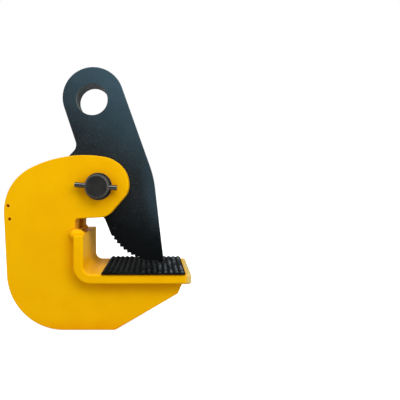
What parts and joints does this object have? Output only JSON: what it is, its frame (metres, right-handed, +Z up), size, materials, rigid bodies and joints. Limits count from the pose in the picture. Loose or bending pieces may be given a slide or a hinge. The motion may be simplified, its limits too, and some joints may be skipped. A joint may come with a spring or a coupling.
{
  "type": "horizontal plate lifting clamp",
  "caption": "C-shaped plate lifting clamp: welded yellow cheeks, bent jaw bracket with a toothed pad, and a black pivoting cam arm with a lifting eye.",
  "frame": {"origin": "middle of the footprint in X and Y, on the flat base", "axes": "+X from the spine to the open end of the jaw, +Z up to the lifting eye, Y along the pivot pin"},
  "size_m": [0.171, 0.07, 0.2466],
  "materials": {
    "yellow_paint": "gloss enamel over plate and welds",
    "arm_black": "satin blue-black",
    "pad_steel": "blackened hardened steel",
    "pin_black": "black oxide, lightly oiled",
    "bush_bronze": "turned bronze"
  },
  "bodies": {
    "frame": {"front_cheek": "yellow_paint", "rear_cheek": "yellow_paint", "spine_spacer": "yellow_paint", "jaw_bracket": "yellow_paint", "jaw_pad": "pad_steel", "pad_plug_welds": "yellow_paint", "throat_weld": "yellow_paint", "spine_welds": "yellow_paint", "bracket_welds": "yellow_paint"},
    "arm": {"cam_arm": "arm_black", "arm_bush": "bush_bronze"},
    "pin": {"pivot_pin": "pin_black", "cross_pin": "pin_black"}
  },
  "joints": [
    {"name": "arm_pivot", "type": "hinge", "parent": "frame", "child": "arm", "pos_m": [0.001, 0, 0.1313], "axis": [0, -1, 0], "range_deg": [0, 30]},
    {"name": "pin_spin", "type": "hinge", "parent": "frame", "child": "pin", "pos_m": [0.001, 0, 0.1313], "axis": [0, 1, 0], "continuous": true}
  ]
}
